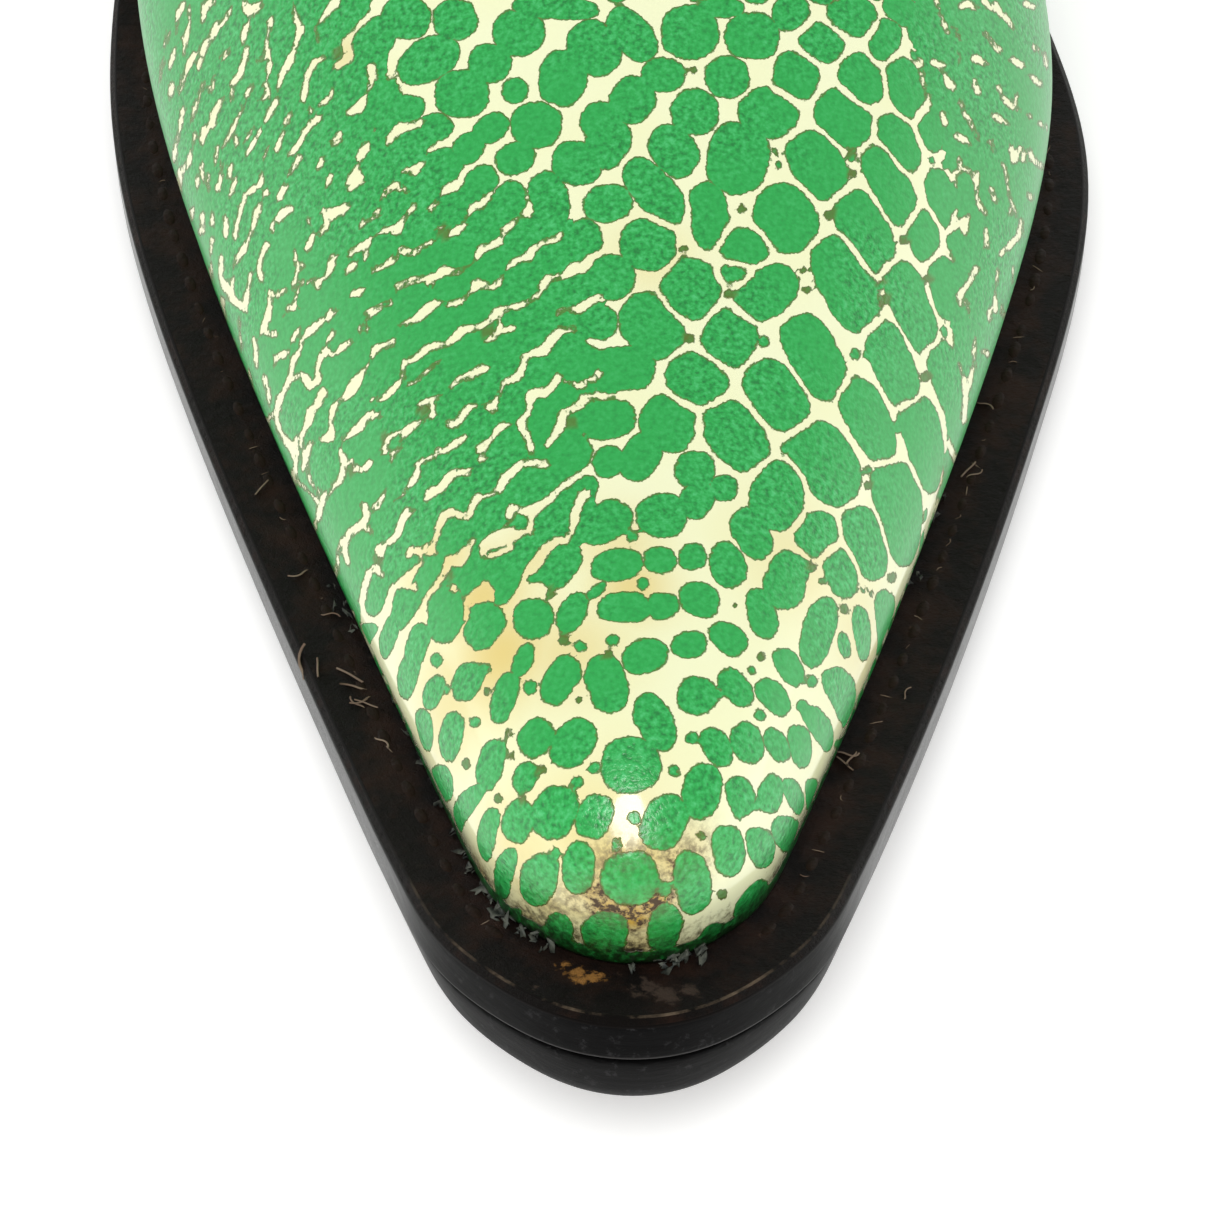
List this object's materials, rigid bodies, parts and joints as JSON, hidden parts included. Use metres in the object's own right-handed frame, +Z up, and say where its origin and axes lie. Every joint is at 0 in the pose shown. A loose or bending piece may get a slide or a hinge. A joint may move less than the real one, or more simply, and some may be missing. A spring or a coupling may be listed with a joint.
{
  "type": "pointed-toe ankle boot",
  "caption": "Right pointed-toe pull-on ankle boot in snake-print leather with a stitched welt, leather outsole, toe spring and stacked walking heel.",
  "frame": {"origin": "middle of the boot's footprint box, on the floor it stands on", "axes": "+X towards the inner (medial) side of the right foot, +Y from toe to heel, +Z up"},
  "size_m": [0.098, 0.2934, 0.1732],
  "materials": {
    "upper_leather": "glossy cream leather printed with green snake scales",
    "welt_leather": "dark brown waxed welt leather with lockstitch",
    "sole_leather": "black dyed and burnished sole edge",
    "insole_leather": "natural tan insole leather",
    "heel_leather": "dark stacked leather lifts",
    "heel_rubber": "matte black rubber top piece"
  },
  "bodies": {
    "root": {"upper": "upper_leather", "welt": "welt_leather", "outsole": "sole_leather", "insole": "insole_leather", "heel_block": "heel_leather", "heel_top_piece": "heel_rubber"}
  },
  "joints": []
}
